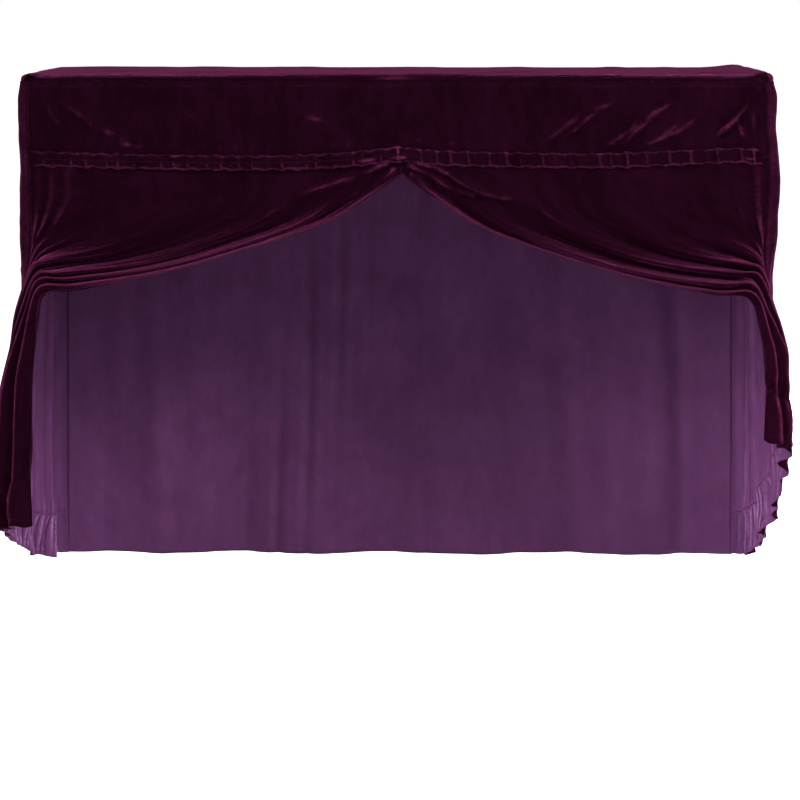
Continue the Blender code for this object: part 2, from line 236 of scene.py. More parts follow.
LEFT_SWEEP = [
    Row(0.00, BAND_REST_Z, -PARTING_X, -0.200, BAND_REST_Z, 1.60, 0.000, 0.000, 0.000, 0.0, -1.0, 0.0),
    Row(0.03, -0.169, -0.016, LEFT_BEHIND_Y, -0.180, 1.65, 0.000, 0.000, 0.000, 0.0, -1.0, 0.0),
    Row(0.06, -0.178, -0.014, LEFT_BEHIND_Y, -0.197, 1.70, 0.000, 0.000, 0.000, 0.0, -1.0, 0.0),
    Row(0.12, -0.205, 0.056, -0.204, -0.241, 1.90, 0.003, 0.000, 0.000, 0.0, -1.0, 0.0),
    Row(0.20, -0.240, 0.171, -0.209, -0.302, 2.20, 0.011, 0.000, 0.000, 0.0, -1.0, 0.1),
    Row(0.33, -0.295, 0.415, -0.220, -0.380, 2.20, 0.015, 0.000, 0.000, 0.0, -1.0, 0.1),
    Row(0.46, -0.345, 0.640, -0.242, -0.428, 1.30, 0.018, 0.000, 0.000, 0.2, -1.0, 0.4),
    Row(0.54, -0.390, 0.706, -0.272, -0.432, 1.00, 0.014, 0.004, 0.008, 0.5, -0.7, 0.6),
    Row(0.62, -0.450, 0.725, -0.305, -0.478, 1.00, 0.014, 0.004, 0.010, 1.0, -0.4, 0.2),
    Row(0.80, -0.640, 0.770, -0.330, -0.635, 1.00, 0.021, -0.008, 0.000, 1.0, -0.3, 0.0),
    Row(1.00, -0.845, 0.801, -0.338, -0.800, 1.00, 0.024, 0.004, 0.000, 1.0, -0.3, 0.0),
]

# curl is how far the foot of a curtain's leading edge turns in under the keyboard arm.
Side = namedtuple("Side", "name sign sweep folds warp curl")
SIDES = [
    Side("left", -1, LEFT_SWEEP, 5, 0.030, 0.060),
    Side("right", 1, RIGHT_SWEEP, 5, -0.026, 0.034),
]

# Both curtains are cut alike, in a shape that narrows to its foot, so this is less than width by length.
CURTAIN_CUT_AREA = 0.300

STITCH_PITCH = 0.0046
STITCH_LENGTH = 0.0032
STITCH_RADIUS = 0.00045
STITCH_PROUD = 0.0002
STITCH_SAMPLES = 400
BAND_SAMPLES = 1600
STITCH_START = 0.006
STITCH_END = 0.994
CURTAIN_STITCH_START = 0.14
BACK_LENGTH = 1.1
NEARBY = 0.001
# Each stitched line along the band: its v, and the u where it ends.
BAND_STITCHES = ((0.07, STITCH_END), (0.50, 0.54), (0.93, STITCH_END))
# How strong the painted highlight on crests and the painted shade in troughs can be on the band, at its knots
# and on the valance, and how readily they show on the valance, frills and walls.
BAND_HIGHLIGHT = 0.58
KNOT_HIGHLIGHT = 1.8
VALANCE_HIGHLIGHT = 0.78
VALANCE_KEEN = 2.1
FRILL_KEEN = 1.8
WALL_KEEN = 1.7
HEM = 0.016
LEADING_HEM = 0.985

# ---------------------------------------------------------------- creases listed one by one
CREASE_BEND = 0.020
CREST_SHARE = 0.18
CREST_WIDTH = 0.55
CREASE_BLEND = 0.90
CREASE_PATCH = 0.80
CREASE_PATCHES = 5.0
CREASE_PHASE = 40.0
CREASE_SEED = 90.0
CREASE_GRAIN = 40.0
CREASE_FADE = 0.45
KNOT_FOLD_FADE = 0.12
EDGE_FOLD_FADE = 0.25
# Each runs from (a0, b0) to (a1, b1) over a piece's own two directions and stands out by height.
Crease = namedtuple("Crease", "a0 b0 a1 b1 height width")
VALANCE_CREASES = [
    Crease(-0.722, -0.030, -0.656, -0.135, 0.0022, 0.011),
    Crease(-0.692, -0.030, -0.600, -0.112, 0.0030, 0.012),
    Crease(-0.640, -0.092, -0.505, -0.152, 0.0036, 0.014),
    Crease(-0.480, -0.060, -0.330, -0.120, 0.0018, 0.018),
    Crease(-0.215, -0.058, -0.088, -0.134, 0.0030, 0.015),
    Crease(-0.132, -0.046, -0.041, -0.100, 0.0016, 0.015),
    Crease(0.284, -0.140, 0.462, -0.030, 0.0062, 0.014),
    Crease(0.322, -0.144, 0.405, -0.064, 0.0030, 0.009),
    Crease(0.402, -0.150, 0.582, -0.040, 0.0062, 0.014),
    Crease(0.438, -0.150, 0.556, -0.056, 0.0026, 0.009),
    Crease(0.494, -0.150, 0.640, -0.058, 0.0048, 0.013),
    Crease(0.530, -0.120, 0.600, -0.070, 0.0020, 0.008),
    Crease(0.628, -0.146, 0.714, -0.044, 0.0054, 0.010),
    Crease(0.676, -0.070, 0.716, -0.150, 0.0020, 0.008),
    Crease(0.717, -0.040, 0.722, -0.150, 0.0028, 0.007),
]
# Folds that run out from the knot at the parting, over a curtain's x and z.
CURTAIN_CREASES = {
    "left": [
        Crease(-0.004, -0.166, -0.215, -0.252, 0.0085, 0.011),
        Crease(-0.080, -0.196, -0.330, -0.300, 0.0050, 0.013),
        Crease(0.004, -0.178, -0.120, -0.268, 0.0045, 0.008),
    ],
    "right": [
        Crease(0.012, -0.163, 0.240, -0.255, 0.0075, 0.009),
        Crease(0.120, -0.208, 0.380, -0.308, 0.0045, 0.012),
        Crease(0.016, -0.178, 0.170, -0.247, 0.0065, 0.008),
        Crease(0.020, -0.192, 0.120, -0.262, 0.0035, 0.007),
    ],
}
TOP_CREASES = [
    Crease(-0.700, -0.120, -0.420, 0.060, 0.0024, 0.020),
    Crease(-0.520, -0.170, -0.300, -0.060, 0.0020, 0.014),
    Crease(-0.240, 0.150, 0.050, 0.020, 0.0022, 0.022),
    Crease(0.080, -0.150, 0.360, -0.020, 0.0022, 0.018),
    Crease(0.330, 0.160, 0.600, 0.060, 0.0022, 0.016),
    Crease(0.560, -0.170, 0.720, -0.030, 0.0030, 0.015),
]
BACK_CREASES = [
    Crease(-0.660, -0.080, -0.420, -0.330, 0.0050, 0.020),
    Crease(-0.320, -0.060, -0.180, -0.420, 0.0045, 0.024),
    Crease(0.090, -0.100, 0.000, -0.520, 0.0050, 0.026),
    Crease(0.360, -0.070, 0.470, -0.380, 0.0045, 0.022),
    Crease(0.690, -0.090, 0.560, -0.300, 0.0050, 0.018),
]
SIDE_CREASES = [
    Crease(-0.200, -0.250, -0.040, -0.120, 0.0035, 0.014),
    Crease(-0.200, -0.330, 0.020, -0.240, 0.0045, 0.016),
    Crease(-0.200, -0.400, 0.090, -0.400, 0.0045, 0.018),
    Crease(-0.200, -0.450, 0.060, -0.600, 0.0050, 0.018),
    Crease(-0.180, -0.500, -0.010, -0.740, 0.0050, 0.016),
    Crease(0.150, -0.080, 0.090, -0.280, 0.0030, 0.014),
]

# Narrow folds that hang straight down near a curtain's outer edge, at a share u of its width.
EdgeFold = namedtuple("EdgeFold", "u height width v0 v1")
EDGE_FOLDS = {
    "left": [
        EdgeFold(0.012, 0.0045, 0.0050, 0.00, 0.46),
        EdgeFold(0.033, 0.0055, 0.0060, 0.02, 0.42),
        EdgeFold(0.060, 0.0045, 0.0070, 0.00, 0.36),
        EdgeFold(0.110, 0.0035, 0.0110, 0.00, 0.30),
    ],
    "right": [
        EdgeFold(0.016, 0.0065, 0.0055, 0.01, 0.46),
        EdgeFold(0.052, 0.0030, 0.0080, 0.00, 0.34),
        EdgeFold(0.100, 0.0030, 0.0120, 0.00, 0.30),
    ],
}

# Soft unevenness of the cloth: the pattern's seed, how far across its swells are and how high.
Swell = namedtuple("Swell", "seed size height")
VALANCE_BROAD = Swell(1.0, 0.075, 0.0020)
VALANCE_FINE = Swell(2.0, 0.024, 0.0008)
TOP_BROAD = Swell(3.0, 0.11, 0.0022)
TOP_ROLL = Swell(5.0, 0.060, 0.0014)
BAND_FINE = Swell(6.0, 0.010, 0.0009)
BACK_BROAD = Swell(7.0, 0.10, 0.0040)
TOP_FINE = Swell(9.0, 0.030, 0.0007)
SIDE_BROAD = Swell(11.0, 0.085, 0.0045)
SIDE_FINE = Swell(14.0, 0.030, 0.0012)
BAND_SAG = Swell(16.0, 0.020, 0.0020)
CURTAIN_BROAD = Swell(20.0, 0.10, 0.0040)
FRILL_BROAD = Swell(30.0, 0.030, 0.0045)
FRILL_FINE = Swell(33.0, 0.014, 0.0030)
FRILL_HEM = Swell(40.0, 0.045, 0.0040)


# ---------------------------------------------------------------- small helpers
def mix(a, b, t):
    return a + (b - a) * t


def ease(t):
    """Smooth step from 0 to 1, flat at both ends."""
    t = min(1.0, max(0.0, t))
    return t * t * (3.0 - 2.0 * t)


def window(t, margin):
    """1 inside the range 0 to 1, falling to 0 at both of its ends."""
    return ease(t / margin) * ease((1.0 - t) / margin)


def bell(distance, width):
    return math.exp(-((distance / width) ** 2))


def ridge(turns, sharpness=1.0):
    """A row of crests, one a turn, from 0 to 1. A higher sharpness narrows them."""
    return (0.5 + 0.5 * math.cos(2.0 * math.pi * turns)) ** sharpness


def swell(a, b, kind, side=None):
    """A soft unevenness of the cloth, of another pattern on each side."""
    seed = kind.seed + side.sign if side else kind.seed
    return kind.height * noise.noise(Vector((a / kind.size, b / kind.size, seed)))


def curve(rows, key, column, place):
    """The column's value on a smooth curve through all the rows, at a place along the key column."""
    keys = [getattr(row, key) for row in rows]
    values = [getattr(row, column) for row in rows]
    last = len(rows) - 1
    place = min(max(place, keys[0]), keys[-1])
    index = max(i for i in range(last) if keys[i] <= place)

    def slope(i):
        low, high = max(i - 1, 0), min(i + 1, last)
        return (values[high] - values[low]) / (keys[high] - keys[low])

    span = keys[index + 1] - keys[index]
    t = (place - keys[index]) / span
    from_start = (1.0 + 2.0 * t) * (1.0 - t) ** 2 * values[index]
    from_end = t * t * (3.0 - 2.0 * t) * values[index + 1]
    from_slopes = t * (1.0 - t) ** 2 * slope(index) - t * t * (1.0 - t) * slope(index + 1)
    return from_start + from_end + from_slopes * span


def crease_lift(creases, a, b, fading=CREASE_FADE):
    """How far the listed creases stand out at a point: a soft swelling with a pinched crest."""
    lift = 0.0
    for crease in creases:
        run = Vector((crease.a1 - crease.a0, crease.b1 - crease.b0))
        to_point = Vector((a - crease.a0, b - crease.b0))
        share = to_point.dot(run) / run.length_squared
        if 0.0 < share < 1.0:
            sideways = run.normalized().cross(to_point - run * share)
            bent = CREASE_BEND * run.length * math.sin(2.0 * math.pi * share + CREASE_PHASE * crease.a0)
            away = sideways - bent
            crest = CREST_SHARE * bell(away, crease.width * CREST_WIDTH)
            at = Vector((share * CREASE_PATCHES, crease.a0 * CREASE_SEED, away * CREASE_GRAIN))
            strength = max(0.0, CREASE_BLEND + CREASE_PATCH * noise.noise(at)) * window(share, fading)
            lift += crease.height * strength * (bell(away, crease.width) + crest)
    return lift


def seam_dip(*distances):
    """How far the cloth is drawn in beside the nearest of its sewn seams."""
    return SEAM_DIP * bell(min(distances), SEAM_REACH)


# ---------------------------------------------------------------- the lines that pieces share
def band_z(x):
    return curve(BAND_LINE, "x", "z", x)


def above_band(x, v):
    """A height between the top seam, v = 0, and the band's line, v = 1."""
    return mix(WALL_TOP_Z, band_z(x) + SEAM_INSET, v)


def tuck_turns(x):
    """A place along the band counted in tucks, which crowd a little towards the left."""
    t = (x + SEAM_X - TUCK_MARGIN) / (2.0 * SEAM_X - 2.0 * TUCK_MARGIN)
    crowded = math.sin(math.pi * min(1.0, max(0.0, t)) ** TUCK_CROWD_GRADE) ** 2
    return BAND_TUCKS * (t + TUCK_CROWDING * crowded)


def seam_z(side, along):
    return curve(FRILL_SEAM, "along", side.name, along)


def back_spread(z):
    return BACK_SPREAD * (WALL_TOP_Z - z) / (WALL_TOP_Z - BACK_HEM_Z)


def side_path(side, along, z):
    """A point of a side wall. along runs from 0 at the front edge to 1 at the back edge."""
    arc = PLAN_CORNER * math.pi / 2.0
    back = HALF_DEPTH - PLAN_CORNER
    straight = 2.0 * back
    distance = along * (straight + 2.0 * arc)

    def corner(turned, y_sign):
        angle = turned / PLAN_CORNER
        x = SEAM_X + PLAN_CORNER * math.cos(angle)
        return x, y_sign * (back + PLAN_CORNER * math.sin(angle))

    if distance < arc:
        wrapped = corner(arc - distance, -1.0)
        unrolled = (HALF_WIDTH, -back - (arc - distance))
        lower = ease((SHOULDER_TOP_Z - z) / (SHOULDER_TOP_Z - SHOULDER_LOW_Z))
        x, y = (mix(a, b, lower) for a, b in zip(wrapped, unrolled))
    elif distance < arc + straight:
        x, y = HALF_WIDTH, -back + (distance - arc)
    else:
        x, y = corner(distance - arc - straight, 1.0)
    towards_back = ease((along - SPREAD_FROM) / (1.0 - SPREAD_FROM))
    flare = mix(curve(SIDE_FLARE, "down", side.name, -z), back_spread(z), towards_back)
    loose = window(along, SIDE_FOLD_FADE) * ease((SIDE_FOLD_FROM_Z - z) / SIDE_FOLD_DEPTH)
    soft_fold = SIDE_FOLD * loose * math.sin(along * SIDE_FOLD_TURNS * math.pi + side.sign * 0.9 + 2.0 * z)
    return Vector((side.sign * (x + flare + soft_fold), y, z))


# ---------------------------------------------------------------- the pieces
def top_point(u, v):
    """The top panel: rings of a rounded rectangle, the outer ones rolling over to the walls."""
    a, b = 2.0 * u - 1.0, 1.0 - 2.0 * v
    ring = max(abs(a), abs(b), 1e-6)
    edge = Vector((a / ring * HALF_WIDTH, b / ring * HALF_DEPTH))
    inner_x, inner_y = HALF_WIDTH - PLAN_CORNER, HALF_DEPTH - PLAN_CORNER
    inner = Vector((max(-inner_x, min(inner_x, edge.x)), max(-inner_y, min(inner_y, edge.y))))
    normal = (edge - inner).normalized()
    rim = inner + normal * PLAN_CORNER
    shrink = 1.0 - max(0.0, 1.0 - ring / FLAT_SHARE) ** RING_GRADE
    angle = max(0.0, (ring - FLAT_SHARE) / (1.0 - FLAT_SHARE)) * math.pi / 2.0
    drawn_in = seam_dip((1.0 - ring) / (1.0 - FLAT_SHARE) * EDGE_ROLL * math.pi / 2.0)
    place = (rim - normal * EDGE_ROLL) * shrink + normal * (EDGE_ROLL * math.sin(angle) - drawn_in)
    drop = EDGE_ROLL * (1.0 - math.cos(angle))
    away = (place.x - LOOSE_X) / LOOSE_SPREAD
    crown = LOOSE_HUMP * math.exp(-away * away) * math.cos(angle) * mix(0.6, 0.3, v)
    slack = crease_lift(TOP_CREASES, place.x, place.y) + swell(place.x, place.y, TOP_BROAD)
    slack += swell(place.x, place.y, TOP_FINE)
    edge_wave = swell(place.x, place.y, TOP_ROLL) * math.sin(angle)
    z = CLOTH / 2.0 + crown - drop + max(-0.0006, slack) * math.cos(angle) ** 2
    return Vector((place.x, place.y, z)) + (normal * edge_wave).to_3d() * math.sin(2.0 * angle)


def valance_point(u, v):
    """The front valance between the corners, from the top's rolled edge to the band."""
    rest = mix(-SEAM_X, SEAM_X, u)
    z = above_band(rest, v)
    left, right = (side_path(side, 0.0, z) for side in SIDES)
    x = mix(left.x, right.x, u)
    above = z - band_z(rest)
    clear_of_band = ease((above - BAND_COVER) / BAND_COVER)
    lift = crease_lift(VALANCE_CREASES, x, z) * clear_of_band * ease(v / 0.12) * window(u, EDGE_FADE)
    near_band = bell(above - BAND_HEIGHT * 0.5, VALANCE_DRAWN_REACH)
    drawn = VALANCE_DRAWN * ridge(tuck_turns(x), 2.0) * near_band * clear_of_band
    uneven = swell(x, z, VALANCE_BROAD) + swell(x, z, VALANCE_FINE)
    uneven *= clear_of_band * ease(v / 0.10) * window(u, VALANCE_SWELL_FADE)
    dip = seam_dip(WALL_TOP_Z - z, right.x - x, x - left.x)
    return Vector((x, -HALF_DEPTH - lift - drawn - uneven + dip, z))


def band_point(u, v):
    """The shirred heading strip: two rows of puffs between three stitched lines, nipped at each tuck."""
    reach = SEAM_X + 0.004
    x = mix(-reach, reach, u)
    turns = tuck_turns(x)
    nearest = round(turns)
    astray = TUCK_STRAY * noise.noise(Vector((nearest * 2.3, 1.5, 0.0)))
    tuck = bell(turns - nearest - astray - TUCK_LEAN * (v - 0.5), TUCK_WIDTH)
    unlike = max(0.05, 0.50 + 1.5 * noise.noise(Vector((nearest * 1.7, 4.0, 0.0))))
    doubled = 1.0 - ease((x - DOUBLED_TO_X) / DOUBLED_FADE)
    halves = abs(math.sin(2.0 * math.pi * v)) ** 0.7
    whole = math.sin(math.pi * v) ** 0.7
    rows = mix(whole, halves, 0.35 + 0.65 * doubled)
    reach_up = mix(1.0, ease((v - 0.25) / 0.35), doubled)
    patchy = 0.55 + 1.3 * noise.noise(Vector((x * 22.0, v * 2.0, 8.0)))
    lips = 0.8 * max(0.0, patchy) * bell(v - TOP_LIP_V, 0.05)
    lips += (0.3 + 1.3 * max(0.0, patchy)) * bell(v - LOW_LIP_V, 0.06)
    lips += 0.8 * doubled * max(0.0, patchy) * bell(v - MIDDLE_LIP_V, 0.06)
    near_knots = bell(v - BAND_KNOT_V, BAND_KNOT_REACH)
    knot = sum(size * bell(x - at, spread) * near_knots for at, spread, size in BAND_KNOTS)
    free = window(v, BAND_FREE)
    stand = BAND_PUFF * rows * (0.55 + 0.45 * tuck)
    stand += TUCK_HEIGHT * tuck * unlike * reach_up * (0.30 + 0.70 * rows)
    stand += BAND_LIP * lips + knot + swell(x, v * BAND_HEIGHT, BAND_FINE)
    sag = BAND_SAG_HEIGHT * math.sin(2.0 * math.pi * turns) + swell(x, 0.0, BAND_SAG)
    z = band_z(x) + BAND_HEIGHT * (0.5 - v) + sag * (2.0 * v - 1.0) ** 3
    return Vector((x, -HALF_DEPTH - CLOTH - BAND_CLEAR - stand * free, z))


def band_highlight(u):
    """The painted highlight on the band's crests is brightest at its knots."""
    x = mix(-SEAM_X, SEAM_X, u)
    near_knot = min(1.0, sum(bell(x - at, spread) for at, spread, _ in BAND_KNOTS))
    return mix(BAND_HIGHLIGHT, KNOT_HIGHLIGHT, near_knot)


def back_point(u, v):
    """The plain back panel, in soft folds that deepen towards its hem."""
    z = mix(WALL_TOP_Z, BACK_HEM_Z, v)
    x = mix(-1.0, 1.0, u) * (SEAM_X + back_spread(z))
    edges = window(u, WALL_FADE)
    fold = BACK_FOLD * v * edges * math.sin(u * BACK_FOLD_TURNS * math.pi + 0.7 * math.sin(5.0 * u))
    drift = u + 0.012 * math.sin(3.0 * v + 9.0 * u)
    broad = ridge(BACK_BROAD_TURNS * drift + 0.9 * math.sin(7.0 * u), 1.2) - 0.35
    pinched = ridge(BACK_PINCHED_TURNS * drift - 0.6 * math.sin(8.0 * u), 2.2) - 0.30
    pinched *= 0.5 + 0.5 * math.sin(9.0 * u + 1.3) * math.sin(4.0 * v + 23.0 * u)
    crests = BACK_BROAD_CREST * ease(v / 0.5) * broad + BACK_PINCHED_CREST * ease(v / 0.4) * pinched
    fold += edges * crests
    fold += crease_lift(BACK_CREASES, x, z)
    fold += swell(x, z, BACK_BROAD) * window(u, EDGE_FADE) * ease(v / 0.05)
    dip = seam_dip(WALL_TOP_Z - z, (1.0 - abs(2.0 * u - 1.0)) * SEAM_X)
    return Vector((x, HALF_DEPTH + fold - dip, z))


def side_point(side, u, v):
    """A side panel, whose edges meet the valance above the band and the curtain below it."""
    line = above_band(side.sign * SEAM_X, 1.0)
    if v <= UPPER_SHARE:
        z = above_band(side.sign * SEAM_X, v / UPPER_SHARE)
    else:
        z = outer_edge_z(side, (v - UPPER_SHARE) / (1.0 - UPPER_SHARE))
        z = line + (z - line) * (seam_z(side, u) - line) / (seam_z(side, 0.0) - line)
    place = side_path(side, u, z)
    inside = window(u, WALL_FADE)
    deep = ease((-0.05 - z) / 0.45)
    drift = u + 0.030 * math.sin(5.0 * z + 2.0 * side.sign) + 0.02 * math.sin(11.0 * u)
    lift = SIDE_CREST * deep * inside * (ridge(8.0 * drift, 1.5) - 0.35)
    lift += crease_lift(SIDE_CREASES, place.y, z) * ease(u / 0.06)
    lift += swell(place.y, z, SIDE_BROAD, side) * inside * ease((WALL_TOP_Z - z) / 0.03)
    lift += swell(place.y, z, SIDE_FINE, side) * inside
    height = seam_z(side, u) - z
    lift += pucker(side, u * SIDE_LENGTH) * bell(height, PUCKER_REACH) * inside
    dip = seam_dip(WALL_TOP_Z - z, u * SIDE_LENGTH, (1.0 - u) * SIDE_LENGTH, height)
    ahead = side_path(side, min(1.0, u + 0.01), z) - side_path(side, max(0.0, u - 0.01), z)
    out = Vector((ahead.y, -ahead.x, 0.0)).normalized() * side.sign
    return place + out * (lift - dip)


def outer_edge_z(side, v):
    """The height of the curtain's outer edge, level with the band's line where it starts."""
    start = band_z(side.sign * SEAM_X) - SEAM_INSET - BAND_REST_Z
    return curve(side.sweep, "v", "outer_z", v) + start * (1.0 - ease(v / BAND_SHARE))


def edge_folds(side, u, v):
    lift = 0.0
    for fold in EDGE_FOLDS[side.name]:
        share = (v - fold.v0) / (fold.v1 - fold.v0)
        if 0.0 < share < 1.0:
            lift += fold.height * window(share, EDGE_FOLD_FADE) * bell(u - fold.u, fold.width)
    return lift


def turned_in(side, u, v):
    """How far a curtain's leading edge turns in, towards its foot."""
    down = ease((v - CURL_FROM_V) / (1.0 - CURL_FROM_V))
    return side.curl * down * ease((u - CURL_FROM_U) / (1.0 - CURL_FROM_U))


def curtain_point(side, u, v):
    """A swept curtain. u runs from the side panel to the leading edge, v from the band down."""
    rows = side.sweep
    across = 1.0 - (1.0 - u) ** curve(rows, "v", "gather", v)
    outer = side_path(side, 0.0, outer_edge_z(side, v))
    lead = Vector([curve(rows, "v", column, v) for column in "xyz"])
    lead.x *= side.sign
    place = outer.lerp(lead, across)
    line_lift = band_z(place.x) - SEAM_INSET - mix(band_z(outer.x) - SEAM_INSET, BAND_REST_Z, across)
    place.z += line_lift * (1.0 - ease(v / BAND_SHARE))
    middle = math.sin(math.pi * u) ** 2
    drawn_in = curve(rows, "v", "dip", v) * math.sin(math.pi * u ** DIP_GRADE) ** 2
    place.x -= side.sign * (drawn_in + turned_in(side, u, v))
    place.z += curve(rows, "v", "rise", v) * middle
    waves = u + side.warp * math.sin(3.0 * math.pi * u)
    crest = (0.5 - 0.5 * math.cos(2.0 * math.pi * side.folds * waves)) ** 1.25 * ease(u / 0.30)
    height = max(0.0, curve(rows, "v", "fold", v))
    top_x = mix(side.sign * SEAM_X, side.sign * PARTING_X, 1.0 - (1.0 - u) ** rows[0].gather)
    hanging = ease((v - 0.02) / 0.06)
    pleats = ridge(tuck_turns(top_x) * 0.5 + 0.18 * math.sin(9.0 * v + 6.0 * u), 1.6) - 0.25
    pleat_height = mix(PLEAT_AT_BAND, PLEAT_BELOW, ease(v / 0.25)) + PLEAT_AT_FOOT * ease((v - 0.6) / 0.3)
    lift = crest * height + pleats * pleat_height * hanging * window(u, EDGE_FADE)
    lift += edge_folds(side, u, v)
    knot_folds = crease_lift(CURTAIN_CREASES[side.name], place.x, place.z, KNOT_FOLD_FADE)
    lift += knot_folds * ease((v - 0.004) / 0.025)
    lift += swell(u * 1.4, v * 0.9, CURTAIN_BROAD, side) * hanging * window(u, CURTAIN_SWELL_FADE)
    out = Vector([curve(rows, "v", column, v) for column in ("out_x", "out_y", "out_z")])
    out.x *= side.sign
    return place + out.normalized() * (lift - seam_dip(u * 0.30, (1.0 - v) * 0.50))


def pucker(side, distance):
    """The tight little gathers that a frill's seam makes, along a distance in metres."""
    turns = PUCKERS_PER_METRE * distance + 0.6 * math.sin(37.0 * distance + side.sign)
    return PUCKER * (ridge(turns, 1.3) - 0.4)


def gathered(side, base, out, u, v, width, gathers, depth):
    """A point of a frill, swung outwards from base, puckered at its seam and scalloped at its hem."""
    turns = gathers * u + 0.35 * math.sin(6.0 * u)
    wave = math.sin(2.0 * math.pi * turns)
    pleat = math.sin(2.0 * math.pi * (2.3 * turns + 0.2)) * math.sin(math.pi * v)
    belly = FRILL_BELLY * math.sin(0.5 * math.pi * min(1.0, 1.6 * v))
    inner = window(u, FRILL_FADE)
    ripple = swell(u * width, v * 0.05, FRILL_BROAD, side) * v
    ripple += swell(u * width, v * 0.07, FRILL_FINE, side) * v
    ripple += pucker(side, u * width) * bell(v, 0.45) * ease(v / 0.08)
    hem = -HEM_DENT * bell(v - HEM_LINE, HEM_DENT_REACH)
    loose = SEAM_DIP - seam_dip(v * FRILL)
    swing = out * (belly + depth * (v * wave + 0.4 * pleat) + ripple + hem + loose) * inner
    lower = -HEM_SCALLOP * v * wave + swell(u * width, 0.0, FRILL_HEM, side) * v
    return base + swing - Vector((0.0, 0.0, lower * inner))


def curtain_frill_point(side, u, v):
    seam = curtain_point(side, u, 1.0)
    base = seam - Vector((0.0, 0.0, v * FRILL))
    out = Vector((side.sign, -0.3, 0.0)).normalized()
    return gathered(side, base, out, u, v, CURTAIN_FRILL_WIDTH, CURTAIN_GATHERS, CURTAIN_WAVE)


def side_frill_point(side, u, v):
    seam = side_point(side, u, 1.0)
    hanging = side_path(side, u, seam.z - v * FRILL) - side_path(side, u, seam.z)
    out = Vector((side.sign, 0.0, 0.0))
    return gathered(side, seam + hanging, out, u, v, SIDE_FRILL_WIDTH, SIDE_GATHERS, SIDE_WAVE)


# ---------------------------------------------------------------- materials
PILE_DARK = (0.0080, 0.0010, 0.0042, 1.0)
PILE_LIGHT = (0.0165, 0.0021, 0.0090, 1.0)
# The painted highlight on the pile's crests, and the painted shade in its troughs.
PILE_PAINTED_HIGHLIGHT = (0.1450, 0.0190, 0.0740, 1.0)
PILE_PAINTED_SHADE = (0.0028, 0.0003, 0.0015, 1.0)
GROUND_DARK = (0.074, 0.021, 0.077, 1.0)
GROUND_LIGHT = (0.098, 0.031, 0.102, 1.0)
# The painted highlight on the ground's crests, and the painted shade in its troughs.
GROUND_PAINTED_HIGHLIGHT = (0.280, 0.120, 0.285, 1.0)
GROUND_PAINTED_SHADE = (0.026, 0.006, 0.026, 1.0)
SHEEN_TINT = (0.470, 0.085, 0.265, 1.0)
THREAD_DARK = (0.028, 0.004, 0.017, 1.0)
THREAD_LIGHT = (0.075, 0.013, 0.046, 1.0)

# A noise pattern over coordinates in metres, drawn out by stretch.
Pattern = namedtuple("Pattern", "scale detail roughness stretch")
CLOUDS = Pattern(9.0, 4.0, 0.55, (1.0, 0.6, 1.0))
STROKES = Pattern(42.0, 5.0, 0.62, (1.0, 0.45, 1.0))
# Where the painted highlight on crests is brighter, in patches.
HIGHLIGHT_PATCHES = Pattern(130.0, 3.0, 0.65, (1.0, 0.7, 1.0))
TUFTS = Pattern(900.0, 2.0, 0.5, (1.0, 1.0, 1.0))
TWIST = Pattern(1400.0, 2.0, 0.5, (1.0, 1.0, 1.0))

# colours are the nap's dark and light, then the painted highlight on crests and the painted shade in troughs.
# bend_sign is 1 for the outer face and -1 for the inner one, where the sheet's troughs stand out.
# stroke and tuft weigh the nap's height, relief is the depth of its bump, and roughness is that of nap
# that isn't brushed up.
Face = namedtuple("Face", "name colours bend_sign stroke tuft relief roughness specular sheen")
PILE_FACE = Face("pile_velvet", (PILE_DARK, PILE_LIGHT, PILE_PAINTED_HIGHLIGHT, PILE_PAINTED_SHADE),
                 1.0, 1.0, 0.10, 0.0050, 0.95, 0.0, 1.0)
GROUND_FACE = Face("velvet_ground", (GROUND_DARK, GROUND_LIGHT, GROUND_PAINTED_HIGHLIGHT, GROUND_PAINTED_SHADE),
                   -1.0, 0.25, 0.15, 0.0030, 0.85, 0.1, 0.15)
BRUSHED_SMOOTHER = 0.12
PILE_SHEEN_ROUGHNESS = 0.26
THREAD_RELIEF = 0.0002
THREAD_ROUGHNESS = 0.75
THREAD_SPECULAR = 0.15


def socket(tree, name, way, kind="NodeSocketFloat", value=None):
    made = tree.interface.new_socket(name=name, in_out=way, socket_type=kind)
    if value is not None:
        made.default_value = value


def math_node(tree, operation, first, second):
    node = tree.nodes.new("ShaderNodeMath")
    node.operation = operation
    for slot, value in enumerate((first, second)):
        if isinstance(value, (int, float)):
            node.inputs[slot].default_value = value
        else:
            tree.links.new(value, node.inputs[slot])
    return node.outputs[0]


def noise_node(tree, vector, pattern):
    mapping = tree.nodes.new("ShaderNodeMapping")
    mapping.inputs["Scale"].default_value = pattern.stretch
    tree.links.new(vector, mapping.inputs["Vector"])
    node = tree.nodes.new("ShaderNodeTexNoise")
    node.inputs["Scale"].default_value = pattern.scale
    node.inputs["Detail"].default_value = pattern.detail
    node.inputs["Roughness"].default_value = pattern.roughness
    tree.links.new(mapping.outputs[0], node.inputs["Vector"])
    return node.outputs[0]


